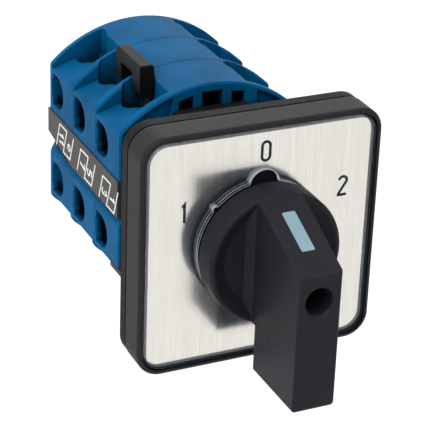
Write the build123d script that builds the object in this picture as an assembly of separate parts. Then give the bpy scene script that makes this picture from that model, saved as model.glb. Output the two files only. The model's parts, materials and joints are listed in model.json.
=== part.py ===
"""Manual transfer switch: a three-deck rotary cam switch (positions 1-0-2) with a square front plate.

Frame, millimetres: the turning axis is the Y axis.  The handle points towards -Y, the contact decks stack
towards +Y, +Z is up.  The origin is on the axis, in the plane where the front plate's seal meets a panel.
"""
import os
from math import cos, hypot, pi, radians, sin

from build123d import *

# ---------------------------------------------------------------- driving dimensions
PLATE = 48.0  # front plate, square
PLATE_R = 4.8  # its corner radius
RIM = 0.95  # visible width of the plate's front border
FRONT_Y = -9.2  # front edge of the plate's border
SPLIT_Y = -2.7  # joint between front frame and rear frame
COVER_T = 0.9  # clear cover
LEGEND_T = 0.8  # aluminium legend plate
HOLE_R = 12.6  # round opening around the handle's collar
POINTER_NOTCH = (0.2, 11.95, 2.9)  # x, z and radius of the half-round notch above that opening
KEY_NOTCH = (-9.25, 8.4, 0.6)  # the same for the small key notch in its edge
PANEL_PITCH = 36.0  # square pattern of the panel screws
PANEL_HOLE_R = 2.25
M3_R = 1.5  # shank of the small screws
M3_HOLE_R = 1.7  # their clearance hole

DECKS = 3
DECK_Y = 14.6  # front of the first deck
PITCH = 12.2  # depth of a deck
DECK_HALF = 18.5  # half width of a deck
ARCH_TOP = 22.5  # height of the arched outline above the axis
ARCH_R = 26.0
WEB = 1.6  # front web of a deck
HUMP = 8.1  # half width of the raised middle of a deck
END_T = 1.5  # end plate

TERM_X = 11.25  # terminal screw axis
TERM_Y = 9.7  # the same, from the front of its deck
BORE_X = 10.75  # screwdriver bore over a terminal screw, a little nearer the axis and the rear
BORE_Y = 10.6
BORE_R = 2.95
ENTRY_Z = 9.75  # wire entry centre height
ENTRY_R = 3.45
SEAM = 0.35  # chamfer round the front of each deck
CONTACT_Y = (6.6, 11.2)  # depth range of contacts within a deck
TRAVEL = 1.5  # travel of a contact carrier from position 0 to 1 or 2
THROW = radians(60)  # turn from position 0 to 1 or 2

CAM_R = 7.3  # cam radius under a follower in position 0
CAM_BORE = 9.2
HUB_R = 4.6
SHAFT = 5.0  # square shaft, across flats
JOURNAL_R = 2.4  # its round rear end
FIT = 0.05  # radial clearance of a running fit
GAP = 0.15  # clearance between sliding mouldings

KNOB_R = 13.1  # round skirt of the handle
SKIRT_Y = -15.7  # front rim of the skirt
SKIRT_BACK = -10.6  # its rear rim, clear of the plate
COLLAR_R = 12.0  # collar behind the skirt, in the plate's round opening
DISH_Y = -14.4  # floor of the dish inside the rim
GRIP_Y = -33.0  # front face of the grip
GRIP_TOP = 5.3  # where the sloped face meets the front face
GRIP_END = -22.0  # lower end of the grip
GRIP_HALF = 4.2  # half width at the front face
GRIP_DRAFT = 0.15  # added half width at the skirt
FOOT_HALF = 5.7  # half width of the grip's bevelled foot on the dish floor
SKIRT_ROUND = 0.7  # rounding of the skirt's front edge
DISH_MOUTH = 12.2  # radius of the dish at the skirt's front
DISH_FLOOR = 9.8  # radius of its flat floor
GRIP_REAR = -17.0  # rear face of its overhanging lower end
GRIP_ROOT = -12.2  # lower end of its root inside the dish
HEAD_HOLE_R = 2.65  # access hole of the handle screw

STRIP_Z = (-2.75, 4.85)  # marking strip, its lower and upper edge
STRIP_TURN = 39.0  # depth at which its lower edge turns up
STRIP_END_Z = -0.3  # height of the lower edge at the rear end
COVER_GAP = 0.25  # dark line between the border and the clear cover
STAR_R = 7.0  # mean radius of the detent star
STAR_LOBE = 0.6
DETENT_X = 9.2  # detent roller axis, lifted clear of the star's lobes
ROLLER_R = 1.5

os.makedirs("parts", exist_ok=True)


# ---------------------------------------------------------------- helpers
def face_plane(y):
    """Plane across the turning axis at depth y: its x is X and its y is Z."""
    return Plane(origin=(0, y, 0), x_dir=(1, 0, 0), z_dir=(0, -1, 0))


def prism(sketch, y0, y1):
    """Sketch drawn in X and Z, filled from depth y0 to y1."""
    return extrude(face_plane(y1) * sketch, amount=y1 - y0)


def block(x0, x1, y0, y1, z0, z1):
    return Pos((x0 + x1) / 2, (y0 + y1) / 2, (z0 + z1) / 2) * Box(x1 - x0, y1 - y0, z1 - z0)


def disc(r, y0, y1, x=0.0, z=0.0):
    """Cylinder along the turning axis."""
    return Pos(x, (y0 + y1) / 2, z) * Rot(90, 0, 0) * Cylinder(r, y1 - y0)


def post(r, z0, z1, x, y):
    """Cylinder along Z."""
    return Pos(x, y, (z0 + z1) / 2) * Cylinder(r, z1 - z0)


def bar(r, x0, x1, y, z):
    """Cylinder along X."""
    return Pos((x0 + x1) / 2, y, z) * Rot(0, 90, 0) * Cylinder(r, x1 - x0)


def square(side, y0, y1, r=0.0):
    sketch = RectangleRounded(side, side, r) if r else Rectangle(side, side)
    return prism(sketch, y0, y1)


def outline(points):
    return make_face(Polyline(*points, close=True))


def flip_x(shape):
    return shape.mirror(Plane.YZ)


def flip_z(shape):
    return shape.mirror(Plane.XY)


def four(shape):
    """The shape in all four quadrants."""
    pair = [shape, flip_x(shape)]
    return pair + [flip_z(s) for s in pair]


def group(solids):
    return Compound(children=list(solids))


def coil(radius, wire, length, turns):
    """Compression spring along +Z from z=0, its wire's outside from 0 to length."""
    rise = length - wire
    path = Pos(0, 0, wire / 2) * Helix(pitch=rise / turns, height=rise, radius=radius)
    ring = Plane(origin=path @ 0, z_dir=path % 0) * Circle(wire / 2)
    return sweep(ring, path=path, is_frenet=True)


def polar_face(radius_at, steps=72):
    """Closed smooth outline given as a radius for each angle, measured from +Z towards +X."""
    points = []
    for i in range(steps):
        a = 2 * pi * i / steps
        points.append((radius_at(a) * sin(a), radius_at(a) * cos(a)))
    return make_face(Spline(*points, periodic=True))


def deck_front(i):
    return DECK_Y + i * PITCH


STACK_END = deck_front(DECKS)
REAR_Y = STACK_END + END_T


def save(name, shape):
    export_step(shape, f"parts/{name}.step")


# ---------------------------------------------------------------- front plate
def screw_holes(y0, y1):
    p = PANEL_PITCH / 2
    return [disc(PANEL_HOLE_R, y0, y1, x, z) for x in (-p, p) for z in (-p, p)]


FRAME_SCREWS = [(x, z) for x in (-12.5, 12.5) for z in (-16.5, 16.5)]
FLOOR_Y = FRONT_Y + COVER_T + LEGEND_T  # floor under the legend plate
FRAME_WALL = 1.8
FLOOR_T = 1.8  # thickness of that floor
BOSS_R = 3.9  # boss round a panel screw
SCREW_BOSS_R = 3.4  # boss round a frame screw
SCREW_SINK = 1.95  # depth of a frame screw's counterbore
JOINT_LINE = 0.35  # depth of the fine groove between the two frames


def front_bezel():
    body = square(PLATE, FRONT_Y, SPLIT_Y, PLATE_R)
    front_edges = body.edges().group_by(Axis.Y)[0]
    body = fillet(front_edges, 0.9)
    rear_edges = body.edges().group_by(Axis.Y)[-1]
    body = chamfer(rear_edges, 0.3)
    opening = PLATE - 2 * RIM
    body -= square(opening, FRONT_Y - 1, FLOOR_Y, PLATE_R - RIM)
    body -= square(PLATE - 2 * FRAME_WALL, FLOOR_Y + FLOOR_T, SPLIT_Y + 1, PLATE_R - FRAME_WALL)
    p = PANEL_PITCH / 2
    for x in (-p, p):
        for z in (-p, p):
            body += disc(BOSS_R, FLOOR_Y + 1, SPLIT_Y, x, z)
    for x, z in FRAME_SCREWS:
        body += disc(SCREW_BOSS_R, FLOOR_Y, SPLIT_Y, x, z)
        body -= disc(M3_HOLE_R, FLOOR_Y - 1, SPLIT_Y + 1, x, z)
        body -= disc(2.9, FLOOR_Y - 1, FLOOR_Y + SCREW_SINK, x, z)
    for hole in screw_holes(FLOOR_Y - 1, SPLIT_Y + 1):
        body -= hole
    return body - disc(7.5, FLOOR_Y - 1, SPLIT_Y)


def rear_frame():
    body = square(PLATE - 0.2, SPLIT_Y + JOINT_LINE, 0, PLATE_R)
    body += square(PLATE - 1.4, SPLIT_Y, SPLIT_Y + JOINT_LINE, PLATE_R - 0.6)
    body -= disc(6.2, SPLIT_Y - 1, 1)
    for hole in screw_holes(SPLIT_Y - 1, 1):
        body -= hole
    for x, z in FRAME_SCREWS:
        body -= disc(M3_HOLE_R, SPLIT_Y - 1, 1, x, z)
    return body


def knob_opening(y0, y1):
    """Round hole with a half-round pointer notch at the top and a small key notch."""
    hole = Circle(HOLE_R)
    for x, z, r in (POINTER_NOTCH, KEY_NOTCH):
        hole += Pos(x, z) * Circle(r)
    return prism(hole, y0, y1)


def clear_cover():
    side = PLATE - 2 * (RIM + COVER_GAP)
    body = square(side, FRONT_Y, FRONT_Y + COVER_T, PLATE_R - RIM)
    body = chamfer(body.edges().group_by(Axis.Y)[0], 0.35)
    return body - knob_opening(FRONT_Y - 1, FLOOR_Y)


def legend_plate():
    side = PLATE - 2 * (RIM + COVER_GAP) - 0.4
    body = square(side, FRONT_Y + COVER_T, FLOOR_Y, PLATE_R - RIM)
    return body - knob_opening(FRONT_Y, FLOOR_Y + 1)


def frame_screws():
    """Four screws that hold both frames to the latch plate."""
    screws = []
    for x, z in FRAME_SCREWS:
        seat = FLOOR_Y + SCREW_SINK - 0.05
        s = disc(2.7, FLOOR_Y + 0.1, seat, x, z) + disc(M3_R, seat, 2.8, x, z)
        s -= block(x - 2, x + 2, FLOOR_Y, FLOOR_Y + 0.8, z - 0.4, z + 0.4)
        screws.append(s)
    return group(screws)


# ---------------------------------------------------------------- latch (detent) unit
LATCH_T = 3.0  # plate behind the panel
LATCH_HALF = 17.4
CAVITY_R = 11.2
LATCH_WALL_Y = 12.8  # front of the latch housing's rear wall
STAR_Y = (5.0, 9.6)
STOP_Y = (9.9, 12.4)
SLEEVE_R = 5.2  # bearing collar on the shaft
LATCH_SCREWS = [(x, z) for x in (-14.2, 14.2) for z in (-9.6, 9.6)]


def latch_plate():
    body = square(44.0, 0, LATCH_T, 4.0)
    body = chamfer(body.edges().group_by(Axis.Y)[-1], 0.4)
    body -= disc(SLEEVE_R + FIT, -1, LATCH_T + 1)
    for hole in screw_holes(-1, LATCH_T + 1):
        body -= hole
    for x, z in FRAME_SCREWS:
        body -= disc(M3_R, -1, LATCH_T + 1, x, z)
    for x, z in LATCH_SCREWS:
        body -= disc(1.55, -1, LATCH_T + 1, x, z)
        body -= disc(2.7, -1, 1.5, x, z)
    return body


def latch_screws():
    screws = []
    for x, z in LATCH_SCREWS:
        s = disc(2.5, 0.1, 1.5, x, z) + disc(M3_R, 1.5, 9.0, x, z)
        s -= block(x - 2, x + 2, 0, 0.7, z - 0.35, z + 0.35)
        screws.append(s)
    return group(screws)


STOP_LUG = radians(10)
STOP_POST = radians(72)  # where a fixed stop begins, measured from straight down
STOP_HALF = radians(9)  # half the angle that a fixed stop fills


def sector(r, a0, a1, y0, y1):
    """Pie slice between two angles measured from +Z towards +X."""
    mid = (a0 + a1) / 2
    tip = r / cos((a1 - a0) / 2) * 1.02
    ends = [(r * 1.5 * sin(a), r * 1.5 * cos(a)) for a in (a0, a1)]
    wedge = outline([(0, 0), ends[0], (1.6 * tip * sin(mid), 1.6 * tip * cos(mid)), ends[1]])
    return prism(wedge & Circle(r), y0, y1)


def latch_housing():
    shape = Rectangle(2 * LATCH_HALF, 30) + Rectangle(15.4, 36)
    body = prism(shape, LATCH_T, DECK_Y)
    body = fillet(body.edges().filter_by(Axis.Y), 0.8)
    lug = block(-DECK_HALF, -15.4, 13.0, 18.6, -15.05, -13.6)
    lug = fillet(lug.edges().filter_by(Axis.Y).group_by(Axis.X)[0], 0.4)
    body += lug + Rot(0, 180, 0) * lug
    body -= disc(CAVITY_R, LATCH_T - 1, LATCH_WALL_Y)
    body -= block(-16.2, 16.2, LATCH_T - 1, STAR_Y[1], -2.3, 2.3)
    body -= disc(HUB_R + FIT, LATCH_T, DECK_Y + 1)
    for side in (-1, 1):
        a = pi + side * (STOP_POST + STOP_HALF)
        stop = sector(CAVITY_R + 0.5, a - STOP_HALF, a + STOP_HALF, STOP_Y[0] + 0.2, LATCH_WALL_Y)
        body += stop - disc(7.6, 0, DECK_Y)
    for x, z in LATCH_SCREWS:
        body -= disc(M3_R, LATCH_T - 1, 9.2, x, z)
    for x in (-TIE_X, TIE_X):
        body -= disc(M3_R, 10.0, DECK_Y + 1, x)
    return body


def star_wheel():
    rim = polar_face(lambda a: STAR_R - STAR_LOBE * cos(6 * (a - pi / 2)))
    body = prism(rim, *STAR_Y)
    return body - square(SHAFT + 2 * FIT, 0, 20)


def stop_disc():
    """Limits the turn: its lug meets the latch housing's two stops."""
    body = disc(7.2, *STOP_Y) + sector(10.6, pi - STOP_LUG, pi + STOP_LUG, *STOP_Y)
    return body - square(SHAFT + 2 * FIT, 0, 20)


def detent_roller():
    return disc(ROLLER_R, STAR_Y[0] + 0.3, STAR_Y[1] - 0.3, DETENT_X)


def detent_plunger():
    y0, y1 = STAR_Y[0] + GAP, STAR_Y[1] - GAP
    body = block(DETENT_X - 0.4, 13.6, y0, y1, -2.1, 2.1)
    body -= disc(ROLLER_R + 0.04, 0, 20, DETENT_X)
    return body - bar(1.6, 11.4, 14, (y0 + y1) / 2, 0)


def detent_spring():
    y = (STAR_Y[0] + STAR_Y[1]) / 2
    return Pos(11.45, y, 0) * Rot(0, 90, 0) * coil(1.15, 0.4, 4.7, 5)


# ---------------------------------------------------------------- contact decks
TIE_X = 13.2  # long tie screws, left and right of the axis


def deck_outline(inset=0.0):
    """Straight sides, arched top and bottom."""
    rise = ARCH_TOP - ARCH_R
    face = Rectangle(2 * (DECK_HALF - inset), 2 * ARCH_TOP)
    face = face & Pos(0, rise) * Circle(ARCH_R - inset) & Pos(0, -rise) * Circle(ARCH_R - inset)
    return fillet(face.vertices(), 1.2)


def side_profile():
    """Terminal blocks left and right, lower than the arch, with gently sloping shoulders."""
    quarter = [(DECK_HALF, 13.9), (12.2, 16.0), (-12.2, 16.0), (-DECK_HALF, 13.9)]
    return outline(quarter + [(x, -z) for x, z in reversed(quarter)])


def strip_channel(y0, y1):
    """Recess along each flank for the marking strip, its lower lip sloped."""
    x_in = DECK_HALF - 1.2
    x_out = DECK_HALF + 1
    slope = outline([(x_in, 4.9), (x_out, 4.9), (x_out, -5.8), (DECK_HALF, -4.9), (x_in, -2.8)])
    cut = prism(slope, y0, y1)
    return cut + flip_x(cut)


def contact_chamber():
    """Room for one half of a deck's upper contact set, with its terminal (left side)."""
    y0, y1 = CONTACT_Y
    cut = block(-2.6 - GAP, 0, 6.1, PITCH + 1, 6.0, 20.4)
    cut += block(-7.2, 0, y0 - 0.3, PITCH + 1, 10.9, 17.9)
    cut += block(-8.5, -7.2, y0 - 0.2, PITCH + 1, 6.2, 12.2)
    cut += block(-17.0, -8.5, 5.6, PITCH + 1, 6.2, 13.6)
    cut += post(BORE_R, 13, 30, -BORE_X, BORE_Y)
    cut += block(-9.5, -8.6, 5.6, 11.3, 13, 17)
    entry = outline([(-ENTRY_R, 9.2), (ENTRY_R, 9.2), (ENTRY_R, 11.7), (-ENTRY_R, 11.7)])
    entry = entry + Pos(0, 9.2) * Circle(ENTRY_R)
    side = Plane(origin=(-16.5, 0, ENTRY_Z), x_dir=(0, 0, 1), z_dir=(-1, 0, 0))
    return cut + extrude(side * entry, amount=4)


WINDOW_LOW = 15.8  # lower edge of the windows in a deck's front web
WINDOW_Y = 5.4  # depth of the outer two, as far as the contact chambers
LEFT_WINDOW = ((-6.65, 19.6), (-3.65, 20.4))  # x and height of its two upper corners
RIGHT_WINDOW = ((4.3, 20.3), (6.95, 20.0))


def windows():
    """Three windows above the axis in a deck's front web, the outer two with slanted tops."""
    cuts = [block(-1.85, 2.45, -1, 7, WINDOW_LOW, 20.9)]
    for inner, outer in (LEFT_WINDOW, RIGHT_WINDOW):
        shape = outline([(inner[0], WINDOW_LOW), inner, outer, (outer[0], WINDOW_LOW)])
        cuts.append(prism(shape, -1, WINDOW_Y))
    return cuts


RECESS_DEPTH = 0.9


def front_recesses():
    """On the first deck: shallow recesses beside the windows, and notches for the latch housing's lugs."""
    middle = outline([(-8.9, 14), (-7.2, 23), (9.7, 23), (9.7, 14)])
    lip = (deck_outline(0.7) & Pos(0, 20) * Rectangle(60, 12)) - middle
    cut = prism(lip, -1, RECESS_DEPTH) + block(-DECK_HALF - 1, -15.2, -1, 4.2, -16, -13.5)
    return cut + Rot(0, 180, 0) * cut


def bore_groove():
    """The bore of the deck in front runs on as a shallow groove in this deck's front web."""
    bore = post(BORE_R, 13, 30, -BORE_X, BORE_Y - PITCH)
    return bore & block(-30, 0, -1, 0.8, 0, 30)


def deck_housing(first):
    body = prism(deck_outline(), 0, WEB)
    body = chamfer(body.edges().group_by(Axis.Y)[0], SEAM)
    body += prism(side_profile(), SEAM, PITCH)
    hump = deck_outline() & Rectangle(2 * HUMP, 60)
    body += prism(hump, SEAM, PITCH)
    body -= strip_channel(-1, PITCH + 1)
    for bore in four(post(BORE_R + 0.3, 16.0, 30, -BORE_X, BORE_Y)):
        body -= bore
    body -= disc(CAM_BORE, WEB + 0.4, PITCH + 1)
    body -= disc(HUB_R + 0.08, -1, PITCH + 1)
    for chamber in four(contact_chamber()):
        body -= chamber
    for window in windows():
        body -= window + Rot(0, 180, 0) * window
    for x in (-TIE_X, TIE_X):
        body -= disc(M3_HOLE_R, -1, PITCH + 1, x)
    if first:
        return body - front_recesses()
    for groove in four(bore_groove()):
        body -= groove
    return body


def end_plate():
    body = prism(deck_outline(), STACK_END, REAR_Y)
    body = chamfer(body.edges().group_by(Axis.Y)[-1], 0.4)
    body -= Pos(0, STACK_END - 1, 0) * strip_channel(0, END_T + 2)
    body -= disc(JOURNAL_R + FIT, STACK_END - 1, REAR_Y + 1)
    for x in (-TIE_X, TIE_X):
        body -= disc(M3_HOLE_R, STACK_END - 1, REAR_Y + 1, x)
    return body


def tie_screws():
    screws = []
    for x in (-TIE_X, TIE_X):
        head = disc(2.8, REAR_Y, REAR_Y + 1.8, x)
        head = fillet(head.edges().group_by(Axis.Y)[-1], 0.8)
        s = head + disc(1.45, 10.4, REAR_Y, x)
        s -= block(x - 3, x + 3, REAR_Y + 1.0, REAR_Y + 3, -0.4, 0.4)
        screws.append(s)
    return group(screws)


def marking_strip():
    x0 = DECK_HALF - 1.15
    low, high = STRIP_Z
    front, rear = DECK_Y + 0.2, REAR_Y + 0.2
    side = outline([(front, low), (STRIP_TURN, low), (rear, STRIP_END_Z), (rear, high), (front, high)])
    return Pos(x0, 0, 0) * extrude(Plane.YZ * side, amount=1.4)


# ---------------------------------------------------------------- contacts and terminals
def fixed_contact():
    """Left upper: terminal tail, riser and inward arm with a silver pad."""
    y0, y1 = CONTACT_Y
    path = [(-15.8, 6.3), (-7.4, 6.3), (-7.4, 11.0), (-4.3, 11.0), (-4.3, 12.0), (-8.4, 12.0), (-8.4, 7.3),
            (-15.8, 7.3)]
    body = prism(outline(path), y0, y1)
    body -= post(1.55, 6, 8, -TERM_X, TERM_Y)
    return body + post(0.85, 12.0, 12.5, -5.3, (y0 + y1) / 2)


def terminal_screw():
    """M3 screw with a slotted round head, as delivered: open."""
    head_z = 12.45
    body = post(1.9, head_z, 14.5, -TERM_X, TERM_Y) + post(M3_R, 6.25, head_z, -TERM_X, TERM_Y)
    return body - block(-TERM_X - 2, -TERM_X + 2, TERM_Y - 0.3, TERM_Y + 0.3, 13.7, 15)


def clamp_plate():
    y0, y1 = CONTACT_Y
    body = block(-14.4, -9.44, y0, y1 + 0.6, 11.62, 12.42)
    return body - post(1.54, 11, 13, -TERM_X, TERM_Y)


def bridge():
    """Moving contact, upper: a bar with a pad at each end, in position 0."""
    y0, y1 = CONTACT_Y
    y = (y0 + y1) / 2
    body = block(-6.6, 6.6, y0 + 0.4, y1 - 0.4, 14.5, 15.5)
    body += post(0.85, 14.0, 14.5, -5.3, y) + post(0.85, 14.0, 14.5, 5.3, y)
    return body


def carrier():
    """Upper contact carrier: a slider with a rounded foot on the cam."""
    y0, y1 = CONTACT_Y[0] - 0.2, CONTACT_Y[1] + 0.2
    foot_r = 1.0
    foot_z = CAM_R + 0.06 + foot_r
    body = block(-2.6, 2.6, y0, y1, 10.6, 17.2) + block(-foot_r, foot_r, y0, y1, foot_z, 10.8)
    body += disc(foot_r, y0, y1, 0, foot_z)
    y = (y0 + y1) / 2
    body -= block(-3, 3, CONTACT_Y[0] + 0.35, CONTACT_Y[1] - 0.35, 14.45, 15.55)
    body -= post(2.1, 16.4, 18, 0, y)
    return body + post(1.2, 15.55, 17.6, 0, y)


def contact_spring():
    y = (CONTACT_Y[0] + CONTACT_Y[1]) / 2
    return Pos(0, y, 16.42) * coil(1.65, 0.4, 3.9, 4)


def cam_radius(a):
    """Radius of the cam, angle from +Z towards +X: equal rise per degree on both working flanks."""
    rise = TRAVEL / THROW
    a = (a + pi) % (2 * pi) - pi
    if abs(a) <= THROW:
        return CAM_R + rise * a
    if abs(a) >= pi - THROW:
        return CAM_R + rise * (pi - a if a > 0 else -pi - a)
    return CAM_R + TRAVEL * (1 if a > 0 else -1)


def cam():
    """Cam disc with its hub, which turns in the housings' webs."""
    rim = [(cam_radius(radians(d)) * sin(radians(d)), cam_radius(radians(d)) * cos(radians(d)))
           for d in range(0, 360, 4)]
    body = prism(outline(rim), CONTACT_Y[0] - 0.4, CONTACT_Y[1] + 0.4)
    body += disc(HUB_R, 0.02, PITCH - 0.02)
    return body - square(SHAFT + 2 * FIT, -1, PITCH + 1)


# ---------------------------------------------------------------- handle and shaft
SLOPE_TOP = 12.4  # height of the sloped face at the skirt's rim
SLOPE_RISE = (SLOPE_TOP - GRIP_TOP) / (SKIRT_Y - 0.4 - GRIP_Y)
INSERT_W, INSERT_L = 2.65, 9.3  # indicator in the sloped face
INSERT_RUN = 10.4  # from the face's front edge to the middle of the indicator


def slope_y(z):
    """Depth of the grip's sloped face at height z."""
    return GRIP_Y + (z - GRIP_TOP) / SLOPE_RISE


def grip():
    """Bar of the handle: sloped top, square lower end that stands clear of the plate."""
    top = KNOB_R + 1
    side = [(DISH_Y, top), (slope_y(top), top), (GRIP_Y, GRIP_TOP), (GRIP_Y, GRIP_END),
            (GRIP_REAR, GRIP_END), (GRIP_REAR, GRIP_ROOT), (DISH_Y, GRIP_ROOT)]
    base_half = GRIP_HALF + GRIP_DRAFT
    shape = extrude(Plane.YZ * outline(side), amount=base_half, both=True)
    taper = outline([(-GRIP_HALF, GRIP_Y), (-base_half, DISH_Y), (base_half, DISH_Y), (GRIP_HALF, GRIP_Y)])
    shape = shape & Pos(0, 0, -30) * extrude(taper, amount=50)
    shape = fillet(shape.edges().filter_by(Axis.Z).group_by(Axis.Y)[0], 0.5)
    lower = shape.edges().filter_by(lambda e: e.center().Z < GRIP_END + 0.05)
    shape = fillet(lower, 0.9)
    return shape & disc(KNOB_R, GRIP_Y - 1, 0) + block(-9, 9, GRIP_Y - 1, 0, -30, 0)


def grip_foot():
    """Bevels along both sides of the grip, from the skirt's front level down to the dish floor."""
    top = GRIP_HALF + GRIP_DRAFT - 0.05
    section = outline([(-FOOT_HALF, DISH_Y), (-top, SKIRT_Y), (top, SKIRT_Y), (FOOT_HALF, DISH_Y)])
    return Pos(0, 0, -20) * extrude(section, amount=40) & disc(KNOB_R - SKIRT_ROUND, SKIRT_Y, 0)


def handle():
    body = disc(KNOB_R, SKIRT_Y, SKIRT_BACK)
    body = fillet(body.edges().group_by(Axis.Y)[0], SKIRT_ROUND)
    body += disc(COLLAR_R, SKIRT_BACK, FRONT_Y + 0.4)
    depth = DISH_Y - SKIRT_Y
    dish = Rot(90, 0, 0) * Cone(DISH_FLOOR, DISH_MOUTH, depth + 0.01)
    body -= Pos(0, SKIRT_Y + depth / 2 - 0.005, 0) * dish
    ahead = GRIP_Y - 7
    body += grip_foot()
    above = [(slope_y(10), 10), (slope_y(14), 14), (ahead, 14), (ahead, 10)]
    body -= extrude(Plane.YZ * outline(above), amount=GRIP_HALF + GRIP_DRAFT, both=True)
    body += grip()
    body -= disc(HEAD_HOLE_R, GRIP_Y - 1, GRIP_REAR)
    body -= Pos(0, GRIP_Y + 0.2, 0) * Rot(90, 0, 0) * Cone(HEAD_HOLE_R, HEAD_HOLE_R + 0.4, 0.41)
    body -= disc(M3_HOLE_R, -18, -13)
    body -= square(SHAFT + 2 * FIT, -14.0, 0)
    body -= disc(11.0, -10.6, 0) - disc(5.6, -11, 0)
    return body - indicator_slot(0.0)


def indicator_slot(gap):
    """Bar-shaped insert let into the sloped face, smaller all round by gap."""
    length = hypot(1, SLOPE_RISE)
    run = INSERT_RUN / length
    centre = (0, GRIP_Y + run, GRIP_TOP + run * SLOPE_RISE)
    plane = Plane(origin=centre, x_dir=(1, 0, 0), z_dir=(0, -SLOPE_RISE / length, 1 / length))
    bar_shape = RectangleRounded(INSERT_W - 2 * gap, INSERT_L - 2 * gap, 0.3)
    return extrude(plane * bar_shape, amount=0.8, both=True)


def indicator():
    skin = [(GRIP_Y, GRIP_TOP), (slope_y(12), 12), (slope_y(12), 0), (GRIP_Y, 0)]
    proud = 0.04
    under = extrude(Plane.YZ * outline(skin), amount=5, both=True)
    return indicator_slot(0.03) & Pos(0, 0, proud) * under


def handle_screw():
    front = GRIP_REAR - 1.9
    body = disc(2.6, front, GRIP_REAR) + disc(1.45, GRIP_REAR, -7.0)
    return body - block(-3, 3, front - 1, front + 0.9, -0.4, 0.4)


def shaft():
    body = square(SHAFT, -14.0, STACK_END - 0.2)
    body += disc(JOURNAL_R, STACK_END - 1.0, REAR_Y - 0.2)
    return body - disc(M3_R, -15, -6.0)


def shaft_sleeve():
    """Round bearing collar on the square shaft, turning in the latch plate."""
    return disc(SLEEVE_R, -1.2, STAR_Y[0] - 0.1) - square(SHAFT + 2 * FIT, -2, 6)


# ---------------------------------------------------------------- terminal link
LINK_X = (-11.3, -8.15)
LINK_Y = (22.6, 34.6)  # over the web between the first two decks
LINK_TOP = 24.2
LINK_FOOT = 17.5
LINK_GAP = (26.5, 32.0, 21.7)  # opening for the web: its depth range and its top


def link_cover():
    """Insulating cap: a hood whose two legs straddle the web between two decks."""
    x0, x1 = LINK_X
    y0, y1 = LINK_Y
    front = [(x0, LINK_TOP), (x1 - 0.3, LINK_TOP), (x1, 21.4), (-8.7, 18.2), (-9.3, LINK_FOOT),
             (-10.6, LINK_FOOT), (x0, 18.6)]
    body = prism(outline(front), y0, y1)
    gap_y0, gap_y1, gap_top = LINK_GAP
    body -= block(x0 - 1, x1 + 1, gap_y0, gap_y1, 10, gap_top)
    body = fillet(body.edges().group_by(Axis.Z)[-1], 0.4)
    return body - link_metal(0.03)


def link_metal(grow=0.0):
    """Flat U link: two prongs reach down into the terminals of two neighbouring decks."""
    y0, y1 = LINK_Y[0] + 0.5, LINK_Y[1] - 0.5
    x0, x1 = -9.35 - grow, -8.85 + grow
    prong, low, high = 1.4, 9.0, 22.0
    path = block(x0, x1, y0 - grow, y1 + grow, high - 0.1 - grow, high + 1.4 + grow)
    path += block(x0, x1, y0 - grow, y0 + prong + grow, low, high)
    path += block(x0, x1, y1 - prong - grow, y1 + grow, low, high)
    return path


# ---------------------------------------------------------------- build
def build():
    save("front_bezel", front_bezel())
    save("rear_frame", rear_frame())
    save("clear_cover", clear_cover())
    save("legend_plate", legend_plate())
    save("frame_screws", frame_screws())
    save("latch_plate", latch_plate())
    save("latch_screws", latch_screws())
    save("latch_housing", latch_housing())
    save("star_wheel", star_wheel())
    save("stop_disc", stop_disc())
    for side, place in (("right", lambda s: s), ("left", flip_x)):
        save(f"detent_roller_{side}", place(detent_roller()))
        save(f"detent_plunger_{side}", place(detent_plunger()))
        save(f"detent_spring_{side}", place(detent_spring()))
        save(f"marking_strip_{side}", place(marking_strip()))
    later_deck = deck_housing(False)
    for i in range(DECKS):
        at = Pos(0, deck_front(i), 0)
        save(f"deck_housing_{i + 1}", at * (later_deck if i else deck_housing(True)))
        save(f"cam_{i + 1}", at * cam())
        save(f"fixed_contacts_{i + 1}", group([at * s for s in four(fixed_contact())]))
        for side, place in (("upper", lambda s: s), ("lower", flip_z)):
            save(f"contact_bridge_{i + 1}_{side}", at * place(bridge()))
            save(f"contact_carrier_{i + 1}_{side}", at * place(carrier()))
            save(f"contact_spring_{i + 1}_{side}", at * place(contact_spring()))
    every_deck = [Pos(0, deck_front(i), 0) for i in range(DECKS)]
    save("terminal_screws", group([at * s for at in every_deck for s in four(terminal_screw())]))
    save("clamp_plates", group([at * s for at in every_deck for s in four(clamp_plate())]))
    save("end_plate", end_plate())
    save("tie_screws", tie_screws())
    save("handle", handle())
    save("indicator", indicator())
    save("handle_screw", handle_screw())
    save("shaft", shaft())
    save("shaft_sleeve", shaft_sleeve())
    save("link_cover", link_cover())
    save("link_metal", link_metal())


build()
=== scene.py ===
"""Looks of the manual transfer switch: studio, materials, clear window, printed figures."""
import json
import math

import bmesh
import bpy
from mathutils import Matrix, Vector


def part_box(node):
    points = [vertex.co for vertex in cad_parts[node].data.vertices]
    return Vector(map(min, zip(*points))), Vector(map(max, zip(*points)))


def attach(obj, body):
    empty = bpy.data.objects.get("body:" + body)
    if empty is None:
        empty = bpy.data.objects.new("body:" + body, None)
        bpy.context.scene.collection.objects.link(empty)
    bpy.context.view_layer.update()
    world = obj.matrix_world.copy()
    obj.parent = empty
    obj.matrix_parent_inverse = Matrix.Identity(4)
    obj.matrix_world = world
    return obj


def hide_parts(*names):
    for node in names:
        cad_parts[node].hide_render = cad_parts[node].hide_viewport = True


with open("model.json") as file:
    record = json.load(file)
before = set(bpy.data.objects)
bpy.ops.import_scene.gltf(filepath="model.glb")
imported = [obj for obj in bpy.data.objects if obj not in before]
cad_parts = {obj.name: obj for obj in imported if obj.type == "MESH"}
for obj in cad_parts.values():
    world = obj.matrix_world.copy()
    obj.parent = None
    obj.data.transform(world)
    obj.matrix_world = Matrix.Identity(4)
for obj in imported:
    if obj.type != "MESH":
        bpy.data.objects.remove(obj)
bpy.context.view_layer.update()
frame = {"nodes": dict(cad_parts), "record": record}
NODES = frame["nodes"]
MM = 0.001


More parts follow.
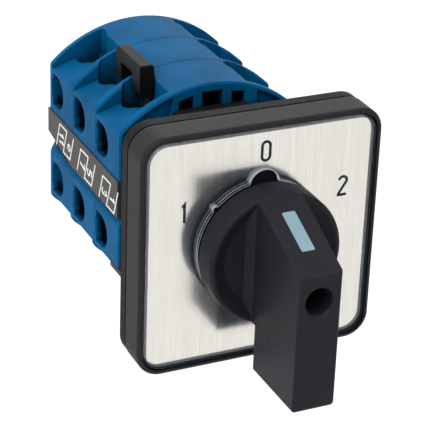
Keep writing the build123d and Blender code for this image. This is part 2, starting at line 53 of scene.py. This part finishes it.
# ---------------------------------------------------------------- node trees
class Graph:
    """A material's node tree, with short calls to add and link nodes."""

    def __init__(self, name):
        self.material = bpy.data.materials.new(name)
        self.material.use_nodes = True
        self.tree = self.material.node_tree
        self.shader = self.tree.nodes["Principled BSDF"]
        self.output = self.tree.nodes["Material Output"]
        self.place = self.add("ShaderNodeTexCoord").outputs["Object"]

    def add(self, kind, settings=None, **inputs):
        node = self.tree.nodes.new(kind)
        for key, value in (settings or {}).items():
            setattr(node, key, value)
        for key, value in inputs.items():
            self.feed(node.inputs[key.replace("_", " ")], value)
        return node

    def feed(self, socket, value):
        if isinstance(value, bpy.types.NodeSocket):
            self.tree.links.new(value, socket)
        else:
            socket.default_value = value

    def set(self, **inputs):
        for key, value in inputs.items():
            self.feed(self.shader.inputs[key.replace("_", " ")], value)

    def stretched(self, x=1.0, y=1.0, z=1.0):
        """Object coordinates scaled along each axis."""
        return self.add("ShaderNodeMapping", Vector=self.place, Scale=(x, y, z)).outputs["Vector"]

    def noise(self, scale, detail=3.0, roughness=0.55, vector=None):
        node = self.add("ShaderNodeTexNoise", Vector=vector or self.place, Scale=scale, Detail=detail,
                        Roughness=roughness)
        return node.outputs["Fac"]

    def spread(self, value, low, high, start=0.3, end=0.7):
        """Value from start..end moved to low..high."""
        node = self.add("ShaderNodeMapRange", Value=value, From_Min=start, From_Max=end, To_Min=low,
                        To_Max=high)
        return node.outputs["Result"]

    def blend(self, factor, a, b, mode="MIX"):
        """Mix of two colours, as (r, g, b) or a socket."""
        node = self.add("ShaderNodeMix", {"data_type": "RGBA", "blend_type": mode})
        self.feed(node.inputs[0], factor)
        for socket, value in ((node.inputs[6], a), (node.inputs[7], b)):
            self.feed(socket, value if isinstance(value, bpy.types.NodeSocket) else (*value, 1.0))
        return node.outputs[2]

    def bump(self, height, strength, depth, normal=None):
        node = self.add("ShaderNodeBump", Height=height, Strength=strength, Distance=depth)
        if normal is not None:
            self.feed(node.inputs["Normal"], normal)
        return node.outputs["Normal"]

    def product(self, a, b):
        node = self.add("ShaderNodeMath", {"operation": "MULTIPLY"})
        self.feed(node.inputs[0], a)
        self.feed(node.inputs[1], b)
        return node.outputs[0]

    def rounded(self, radius):
        """Normal that runs softly over sharp edges."""
        return self.add("ShaderNodeBevel", {"samples": 4}, Radius=radius).outputs["Normal"]

    def edges(self, round_normal):
        """1 on sharp outer and inner edges, 0 on flat areas."""
        flat_normal = self.add("ShaderNodeNewGeometry").outputs["Normal"]
        alike = self.add("ShaderNodeVectorMath", {"operation": "DOT_PRODUCT"})
        self.feed(alike.inputs[0], round_normal)
        self.feed(alike.inputs[1], flat_normal)
        return self.spread(alike.outputs["Value"], 1.0, 0.0, 0.75, 0.995)

    def enclosed(self, distance, start, end):
        """1 deep in holes and pockets, 0 in the open."""
        node = self.add("ShaderNodeAmbientOcclusion", {"samples": 6}, Distance=distance)
        return self.spread(node.outputs["AO"], 1.0, 0.0, start, end)

    def leaning(self, lean):
        """The surface normal, leaning over by a small vector."""
        total = self.add("ShaderNodeVectorMath", {"operation": "ADD"})
        self.feed(total.inputs[0], self.add("ShaderNodeNewGeometry").outputs["Normal"])
        total.inputs[1].default_value = lean
        unit = self.add("ShaderNodeVectorMath", {"operation": "NORMALIZE"})
        self.feed(unit.inputs[0], total.outputs["Vector"])
        return unit.outputs["Vector"]

    def near_axis(self, axis, limit, soft):
        """1 nearer to the turning axis than limit along X or Z, 0 beyond it."""
        coordinate = self.add("ShaderNodeSeparateXYZ", Vector=self.place).outputs[axis]
        away = self.add("ShaderNodeMath", {"operation": "ABSOLUTE"})
        self.feed(away.inputs[0], coordinate)
        return self.spread(away.outputs[0], 1.0, 0.0, limit - soft, limit)


def shade(colour, factor):
    return tuple(c * factor for c in colour)


# ---------------------------------------------------------------- materials
POCKET_DEPTH = 6  # mm from a wall to the one across it within which both count as enclosed and take painted shade
BLUE = (0.0008, 0.070, 0.172)
PAINTED_SHADE_NAVY = (0.001, 0.005, 0.012)  # painted shade for holes, recesses and the inner room of the blue mouldings
BLACK = (0.006, 0.006, 0.0068)
SHEET_BOW = (-0.027, 0, 0.042)  # how the thin plate's surface leans, which moves its reflections
RIM_LEAN = (-1.4, -0.1, 2.0)  # the cover's polished rims pick up light from above on the left


def moulding(name, colour, roughness, specular=0.25, wear_and_highlight=1.5, edge=0.14, cloud=0.1, grain=0.12,
             painted_shade=None, inside=None):
    """Moulded plastic: fine spark-eroded grain, faint clouding, paler edges that are partly rubbed wear and
    partly a painted highlight, and painted shade in holes and recesses.

    wear_and_highlight: how much paler an edge is, as rubbed wear and painted highlight; edge: its radius in
    millimetres;
    cloud and grain: how strong the clouding and the grain are; pocket: the painted shade colour deep inside
    holes and recesses; inside: half the width and height in millimetres of the hollow inner room, which is
    painted all over in that shade colour."""
    g = Graph(name)
    clouds = g.noise(140, 4)
    base = g.blend(g.spread(clouds, 0, 1), shade(colour, 1 - cloud), shade(colour, 1 + cloud))
    soft = g.rounded(edge * MM)
    # Paler edges: partly rubbed wear, partly a painted highlight along every sharp edge.
    rub_and_highlight = g.product(g.edges(soft), g.spread(g.noise(900, 5), 0.3, 0.9))
    base = g.blend(rub_and_highlight, base, shade(colour, wear_and_highlight))
    # Painted shade: deep in holes and recesses the colour turns to the pocket colour.
    if painted_shade:
        base = g.blend(g.enclosed(POCKET_DEPTH * MM, 0.16, 0.60), base, painted_shade)
    # Painted shade: every surface inside the inner room takes the pocket colour.
    if inside:
        half_width, half_height = inside
        room = g.product(g.near_axis("X", half_width * MM, 1.2 * MM),
                         g.near_axis("Z", half_height * MM, 0.2 * MM))
        base = g.blend(room, base, painted_shade)
    g.set(Base_Color=base, Roughness=g.spread(g.noise(1700, 3), roughness - 0.06, roughness + 0.07),
          Specular_IOR_Level=specular, Normal=g.bump(g.noise(5200, 2), grain, 0.03 * MM, soft))
    return g.material


def brushed_aluminium():
    """Sheet metal brushed up and down: long hairlines that blur reflections sideways."""
    g = Graph("brushed_aluminium")
    hair = g.noise(1.0, 4, 0.7, g.stretched(9000, 9000, 160))
    band = g.noise(1.0, 3, 0.6, g.stretched(2600, 2600, 40))
    tone = g.blend(g.spread(hair, 0, 1), (0.64, 0.605, 0.545), (0.735, 0.705, 0.635))
    tone = g.blend(g.spread(band, 0.0, 0.5, 0.45, 0.75), tone, (0.78, 0.76, 0.70))
    g.set(Base_Color=tone, Metallic=1.0, Roughness=g.spread(hair, 0.12, 0.2),
          Normal=g.bump(hair, 0.2, 0.003 * MM, g.leaning(SHEET_BOW)))
    return g.material


def metal(name, colour, roughness, tarnish=0.25):
    """Plated or rolled metal with uneven shine and darker tarnished patches."""
    g = Graph(name)
    patches = g.noise(420, 5)
    lines = g.noise(2600, 3, 0.6)
    base = g.blend(g.spread(patches, 0, 1), shade(colour, 1 - tarnish), colour)
    g.set(Base_Color=base, Metallic=1.0,
          Roughness=g.spread(lines, roughness - 0.08, roughness + 0.1),
          Normal=g.bump(lines, 0.2, 0.01 * MM))
    return g.material


def ink(name, colour):
    """Printed ink, slightly uneven in density."""
    g = Graph(name)
    density = g.noise(3000, 4)
    g.set(Base_Color=g.blend(g.spread(density, 0, 1), shade(colour, 0.82), colour), Specular_IOR_Level=0.1,
          Roughness=g.spread(g.noise(1200, 2), 0.5, 0.6), Normal=g.bump(density, 0.1, 0.01 * MM))
    return g.material


def see_through(name, colour, clear, roughness, ior=1.49, lean=(0, 0, 0)):
    """Clear plastic: light passes straight on, with gloss by Fresnel and faint wipe marks.

    lean: how far the normal leans, for rims that pick up light from another side."""
    g = Graph(name)
    marks = g.noise(700, 4, 0.6, g.stretched(1, 1, 0.25))
    g.set(Base_Color=g.blend(g.spread(marks, 0, 1), shade(colour, 0.85), colour),
          Roughness=g.spread(marks, roughness, roughness + 0.05))
    g.set(Normal=g.leaning(lean))
    through = g.add("ShaderNodeBsdfTransparent")
    gloss = g.add("ShaderNodeFresnel", IOR=ior).outputs["Fac"]
    share = g.add("ShaderNodeMath", {"operation": "MAXIMUM"})
    g.feed(share.inputs[0], gloss)
    share.inputs[1].default_value = 1 - clear
    mix = g.add("ShaderNodeMixShader")
    g.feed(mix.inputs[0], share.outputs[0])
    g.feed(mix.inputs[1], through.outputs[0])
    g.feed(mix.inputs[2], g.shader.outputs[0])
    g.feed(g.output.inputs["Surface"], mix.outputs[0])
    return g.material


MATERIALS = {
    "black_frame": moulding("black_frame", (0.0150, 0.0150, 0.0170), 0.52, specular=0.10, wear_and_highlight=3),
    "black_rear": moulding("black_rear", (0.0080, 0.0078, 0.0077), 0.55, specular=0.06, wear_and_highlight=2.2),
    "brushed_aluminium": brushed_aluminium(),
    "zinc_steel": metal("zinc_steel", (0.50, 0.47, 0.42), 0.34),
    "black_latch": moulding("black_latch", BLACK, 0.45, wear_and_highlight=2.0),
    "black_handle": moulding("black_handle", (0.0118, 0.0124, 0.0152), 0.48, specular=0.10, wear_and_highlight=4,
                             edge=0.22),
    "pale_blue_insert": moulding("pale_blue_insert", (0.185, 0.285, 0.33), 0.5, wear_and_highlight=1.1, cloud=0.08),
    "blue_moulding": moulding("blue_moulding", BLUE, 0.45, specular=0.02, wear_and_highlight=2.2, cloud=0.2, painted_shade=PAINTED_SHADE_NAVY),
    "blue_deck": moulding("blue_deck", BLUE, 0.45, specular=0.02, wear_and_highlight=2.2, cloud=0.2, painted_shade=PAINTED_SHADE_NAVY,
                          inside=(18.35, 13.9)),
    "strip_black": moulding("strip_black", (0.033, 0.027, 0.025), 0.5, wear_and_highlight=1.2),
    "brass_contact": metal("brass_contact", (0.30, 0.21, 0.11), 0.35),
    "link_insulation": moulding("link_insulation", (0.0045, 0.0045, 0.0048), 0.45, specular=0.08, wear_and_highlight=3),
    "cam_plastic": moulding("cam_plastic", (0.62, 0.60, 0.54), 0.45, wear_and_highlight=1.1),
    "carrier_plastic": moulding("carrier_plastic", (0.02, 0.02, 0.022), 0.45, wear_and_highlight=1.3),
    "copper_bridge": metal("copper_bridge", (0.80, 0.42, 0.28), 0.3),
    "spring_steel": metal("spring_steel", (0.55, 0.56, 0.58), 0.25),
}
CLEAR_FACE = see_through("clear_face", (0.55, 0.75, 1.0), 0.985, 0.05, ior=1.2)
CLEAR_BEVEL = see_through("clear_bevel", (0.06, 0.07, 0.09), 0.12, 0.12)
# Painted highlight: the polished rims of the opening are near-opaque white, standing in for the bright
# glints of the clear plastic.
GLINT_PAINTED_RIM = see_through("glint_painted_rim", (1.0, 1.0, 1.0), 0.02, 0.10, lean=RIM_LEAN)
CLEAR_WALL = see_through("clear_wall", (0.10, 0.11, 0.14), 0.90, 0.15, ior=1.1)
DARK_INK = ink("dark_ink", (0.012, 0.011, 0.011))
WHITE_INK = ink("white_ink", (0.72, 0.70, 0.66))


def dress_cad():
    """Every CAD node takes the material of its slot in the record.

    The rear frame is a darker black than the bezel, and only the decks have their inner room painted in
    dark shade."""
    for part in frame["record"]["subparts"]:
        finish = MATERIALS.get(part["material_slot"])
        if finish is not None:
            mesh = NODES[part["node"]].data
            mesh.materials.clear()
            mesh.materials.append(finish)
    NODES["rear_frame"].data.materials[0] = MATERIALS["black_rear"]
    for name, node in NODES.items():
        if name.startswith("deck_housing"):
            node.data.materials[0] = MATERIALS["blue_deck"]


# ---------------------------------------------------------------- mesh helpers
def new_piece(name, bm, materials, smooth=True):
    bmesh.ops.recalc_face_normals(bm, faces=bm.faces)
    mesh = bpy.data.meshes.new(name)
    bm.to_mesh(mesh)
    bm.free()
    for material in materials:
        mesh.materials.append(material)
    if smooth:
        mesh.shade_smooth()
        mesh.set_sharp_from_angle(angle=math.radians(32))
    piece = bpy.data.objects.new(name, mesh)
    bpy.context.scene.collection.objects.link(piece)
    return piece


# ---------------------------------------------------------------- clear window
COLUMNS = 720  # points round the window's outlines
COVER_CORNER = 3.85  # corner radius of the clear cover
OPENING_R = 12.6  # radius of the opening round the handle
OPENING = [((0, 0), OPENING_R), ((0.2, 11.95), 2.9), ((-9.25, 8.4), 0.6)]  # centres and radii
FACE_GAP = 0.06  # the window's back stays this far off the plate
BEVEL = 0.42  # bevel round the outer edge
LIP = 0.08  # polished bevel on both edges of the opening


def ray_to_circle(u, centre, radius):
    """Distance from the origin along u to the far side of a circle, or 0."""
    along = u[0] * centre[0] + u[1] * centre[1]
    inside = radius ** 2 - (centre[0] ** 2 + centre[1] ** 2) + along ** 2
    return along + math.sqrt(inside) if inside > 0 and along >= 0 else 0.0


def ray_to_square(u, half, corner):
    """Distance from the origin along u to a square with rounded corners."""
    reach = half / max(abs(u[0]), abs(u[1]))
    flat = half - corner
    if min(abs(u[0]), abs(u[1])) * reach <= flat:
        return reach
    return ray_to_circle((abs(u[0]), abs(u[1])), (flat, flat), corner)


def clear_window():
    """The clear cover, rebuilt with bevelled outer edge and polished rims round its opening; the rims and
    the notch's bore are painted white, a painted highlight for their glints.
    """
    low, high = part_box("clear_cover")
    half = (high.x - low.x) / 2 / MM
    front, back = low.y / MM, high.y / MM - FACE_GAP

    def outer(u, inset):
        return ray_to_square(u, half - inset, COVER_CORNER - inset)

    def inner(u, outset):
        return max(ray_to_circle(u, centre, radius + outset) for centre, radius in OPENING)

    rings = [
        (outer, 0.0, back),
        (outer, 0.0, front + BEVEL),
        (outer, BEVEL, front),
        (inner, LIP + 0.05, front),
        (inner, LIP, front),
        (inner, 0.0, front + LIP),
        (inner, 0.0, back - LIP),
        (inner, LIP, back),
    ]
    skins = [CLEAR_BEVEL, CLEAR_FACE, GLINT_PAINTED_RIM, CLEAR_WALL]
    edge, face, rim, bore = range(len(skins))
    kinds = [edge, edge, face, rim, rim, bore, rim, face]
    turns = [2 * math.pi * i / COLUMNS for i in range(COLUMNS)]
    rays = [(math.sin(a), math.cos(a)) for a in turns]
    in_notch = [inner(u, 0) > OPENING_R + 0.01 for u in rays]
    bm = bmesh.new()
    grid = []
    for outline, inset, y in rings:
        ring = []
        for u in rays:
            r = outline(u, inset)
            ring.append(bm.verts.new((u[0] * r * MM, y * MM, u[1] * r * MM)))
        grid.append(ring)
    for k, kind in enumerate(kinds):
        here, there = grid[k], grid[(k + 1) % len(grid)]
        for i in range(COLUMNS):
            j = (i + 1) % COLUMNS
            quad = bm.faces.new((here[i], here[j], there[j], there[i]))
            # Painted highlight: the bore of the notch takes the white rim material as a bright glint.
            quad.material_index = rim if kind == bore and in_notch[i] else kind
    piece = new_piece("clear_window", bm, skins)
    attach(piece, "base")
    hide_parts("clear_cover")


# ---------------------------------------------------------------- printed strokes
INK_GAP = 0.004  # keeps a print's underside off the surface below it
INK_H = 0.02  # thickness of a print


def arc(cx, cy, radius, start, end, steps=10):
    """Points on an arc, angles in degrees anticlockwise from the first axis."""
    turn = [math.radians(start + (end - start) * i / steps) for i in range(steps + 1)]
    return [(cx + radius * math.cos(t), cy + radius * math.sin(t)) for t in turn]


def stroke(bm, points, width, place, closed=False):
    """A flat printed line along points; place turns (u, v, height) into a position in metres."""
    count = len(points)
    pairs = []
    for i, point in enumerate(points):
        before = points[i - 1] if i or closed else None
        after = points[(i + 1) % count] if i + 1 < count or closed else None
        p = Vector(point)
        steps = []
        if before is not None:
            steps.append((p - Vector(before)).normalized())
        if after is not None:
            steps.append((Vector(after) - p).normalized())
        along = sum(steps, Vector((0, 0))).normalized()
        side = Vector((-along.y, along.x))
        reach = width / 2 / max(0.35, side.dot(Vector((-steps[0].y, steps[0].x))))
        pairs.append((p + side * reach, p - side * reach))
    heights = (INK_GAP, INK_GAP + INK_H)
    rows = [[bm.verts.new(place(q.x, q.y, h)) for q in pair for h in heights] for pair in pairs]
    spans = count if closed else count - 1
    for i in range(spans):
        a, b = rows[i], rows[(i + 1) % count]
        for m, n in ((0, 1), (1, 3), (3, 2), (2, 0)):
            bm.faces.new((a[m], a[n], b[n], b[m]))
    if not closed:
        for row in (rows[0], rows[-1]):
            bm.faces.new((row[0], row[1], row[3], row[2]))


FIGURE_WIDTH = 0.54  # of the printed line
FIGURE_PLACES = (("1", -15.15, 8.3), ("0", 0.6, 18.2), ("2", 16.8, 8.65))
FIGURES = {
    "1": [[(-0.50, 1.32), (0.0, 1.85), (0.0, -1.85)]],
    "0": [arc(0, 1.05, 0.8, 0, 180) + arc(0, -1.05, 0.8, 180, 360)],
    "2": [arc(0, 1.05, 0.8, 170, -20) + [(-0.82, -1.62), (-0.82, -1.85), (0.86, -1.85)]],
}


def plate_figures():
    """Position figures 1, 0 and 2 printed on the aluminium."""
    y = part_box("legend_plate")[0].y
    bm = bmesh.new()
    for figure, x, z in FIGURE_PLACES:
        def place(u, v, h, x=x, z=z):
            return ((x + u) * MM, y - h * MM, (z + v) * MM)

        for line in FIGURES[figure]:
            stroke(bm, line, FIGURE_WIDTH, place, closed=figure == "0")
    piece = new_piece("plate_figures", bm, [DARK_INK], smooth=False)
    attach(piece, "base")


# ---------------------------------------------------------------- marking strip print
SMALL_FIGURES = {  # in a box one unit high
    "1": [[(-0.25, 0.28), (0.0, 0.5), (0.0, -0.5)]],
    "3": [arc(0, 0.25, 0.25, 150, -80, 8) + arc(0, -0.23, 0.27, 80, -150, 8)],
    "5": [[(0.25, 0.5), (-0.2, 0.5), (-0.24, 0.06)] + arc(0, -0.2, 0.29, 110, -150, 9)],
    "7": [[(-0.27, 0.5), (0.27, 0.5), (-0.06, -0.5)]],
    "9": [arc(0, 0.2, 0.27, 0, 360, 12), arc(-0.05, 0.12, 0.33, 0, -70, 5)],
}
SMALL_H = 2.3  # height of a small figure
SMALL_PITCH = 1.5  # from one digit of a number to the next
SMALL_WIDTH = 0.46  # of the printed line
NUMBERS = (("3", "1"), ("7", "5"), ("11", "9"))  # each deck's rear and front number
NUMBER_Y = (7.0, 3.0)  # rear and front number, from the start of the deck's print
NUMBER_Z = 2.3
LINKED_FRAMES = [(9.8, 0.0), (7.9, 5.3), (3.8, 5.3), (5.8, 0.0), (2.0, -0.1), (0.0, 5.3)]
FRAME_WIDTH = 0.36
PRINT_START = (14.4, -2.45)  # Y and Z of the first deck's print
PRINT_STEP = (11.9, 0.5)  # to the next deck's; the strip climbs towards the rear


def strip_print():
    """Terminal numbers and their linked frames on both marking strips."""
    for side, sign in (("left", -1), ("right", 1)):
        low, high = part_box(f"marking_strip_{side}")
        face = (low.x if side == "left" else high.x) / MM
        bm = bmesh.new()
        for deck, numbers in enumerate(NUMBERS):
            y0, z0 = (start + deck * step for start, step in zip(PRINT_START, PRINT_STEP))

            def place(u, v, h, y0=y0, z0=z0):
                return ((face + sign * h) * MM, (y0 + u) * MM, (z0 + v) * MM)

            stroke(bm, LINKED_FRAMES, FRAME_WIDTH, place)
            for number, y in zip(numbers, NUMBER_Y):
                for k, digit in enumerate(number):
                    z = NUMBER_Z - (k - (len(number) - 1) / 2) * SMALL_PITCH
                    for line in SMALL_FIGURES[digit]:
                        turned = [(y + sign * v * SMALL_H, z - u * SMALL_H) for u, v in line]
                        stroke(bm, turned, SMALL_WIDTH, place)
        piece = new_piece(f"strip_print_{side}", bm, [WHITE_INK], smooth=False)
        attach(piece, "base")


# ---------------------------------------------------------------- studio
# Positions and sizes here are in metres.
FLOOR_HALF = 4.0
FLOOR_Z = -0.12
AIM = (0, 0.01, 0)  # what the lamps point at
LAMPS = (  # name, position, size, watts
    ("key_top_left", (-0.45, -0.35, 0.75), (0.6, 0.6), 4),
    ("side_left", (-0.9, 0.05, 0.15), (0.5, 0.7), 0.4),
    ("front_low", (0.35, -0.9, -0.02), (0.8, 0.5), 0.6),
    ("rim_back", (0.46, 0.97, 0.53), (0.9, 0.9), 2.6),
)
TENT_BRIGHT_SIDE = (-0.5, 0.4, 0.77)
CAMERA_PLACE = (-0.14059, -0.28501, 0.15942)
CAMERA_TURN = (25.555, -26.488, 2.267)  # azimuth, elevation and roll in degrees


def floor():
    """Pale, flat paper floor well below the switch."""
    bm = bmesh.new()
    bmesh.ops.create_grid(bm, x_segments=8, y_segments=8, size=FLOOR_HALF,
                          matrix=Matrix.Translation((0, 0, FLOOR_Z)))
    g = Graph("paper")
    fibres = g.noise(60, 5)
    paper = g.blend(g.spread(fibres, 0, 1), (0.74, 0.74, 0.74), (0.77, 0.77, 0.77))
    g.set(Base_Color=paper, Roughness=0.9, Specular_IOR_Level=0.1)
    sheet = new_piece("paper_floor", bm, [g.material], smooth=False)


def soft_light(name, place, size, power):
    lamp = bpy.data.lights.new(name, "AREA")
    lamp.shape = "RECTANGLE"
    lamp.size, lamp.size_y = size
    lamp.energy = power
    holder = bpy.data.objects.new(name, lamp)
    holder.location = place
    holder.rotation_mode = "QUATERNION"
    holder.rotation_quaternion = (Vector(AIM) - Vector(place)).to_track_quat("-Z", "Y")
    bpy.context.scene.collection.objects.link(holder)


def overhead_tent():
    """White light tent, brightest above, behind and on the left."""
    world = bpy.data.worlds.new("studio")
    world.use_nodes = True
    tree = world.node_tree
    direction = tree.nodes.new("ShaderNodeTexCoord")
    towards_light = tree.nodes.new("ShaderNodeVectorMath")
    towards_light.operation = "DOT_PRODUCT"
    towards_light.inputs[1].default_value = TENT_BRIGHT_SIDE
    level = tree.nodes.new("ShaderNodeMapRange")
    level.inputs["From Min"].default_value = -0.6
    level.inputs["To Min"].default_value = 0.3
    level.inputs["To Max"].default_value = 1.7
    backdrop = tree.nodes["Background"]
    backdrop.inputs["Color"].default_value = (0.97, 0.98, 1.0, 1.0)
    tree.links.new(direction.outputs["Generated"], towards_light.inputs[0])
    tree.links.new(towards_light.outputs["Value"], level.inputs["Value"])
    tree.links.new(level.outputs["Result"], backdrop.inputs["Strength"])
    return world


def studio():
    scene = bpy.context.scene
    scene.view_settings.view_transform = "Standard"
    scene.world = overhead_tent()
    for lamp in LAMPS:
        soft_light(*lamp)
    floor()


def camera():
    """Three-quarter view from the left and above, slightly rolled."""
    lens = bpy.data.cameras.new("camera")
    lens.sensor_width = 36.0
    lens.lens = 158.92
    lens.shift_x, lens.shift_y = -0.00937, 0.0036
    lens.clip_start, lens.clip_end = 0.01, 20
    azimuth, elevation, roll = (math.radians(a) for a in CAMERA_TURN)
    forward = Vector((math.sin(azimuth) * math.cos(elevation), math.cos(azimuth) * math.cos(elevation),
                      math.sin(elevation)))
    right = forward.cross(Vector((0, 0, 1))).normalized()
    up = right.cross(forward)
    rolled_right = right * math.cos(roll) + up * math.sin(roll)
    rolled_up = up * math.cos(roll) - right * math.sin(roll)
    turn = Matrix((rolled_right, rolled_up, -forward)).transposed()
    holder = bpy.data.objects.new("camera", lens)
    holder.matrix_world = Matrix.Translation(CAMERA_PLACE) @ turn.to_4x4()
    bpy.context.scene.collection.objects.link(holder)
    bpy.context.scene.camera = holder


camera()
studio()
dress_cad()
clear_window()
plate_figures()
strip_print()
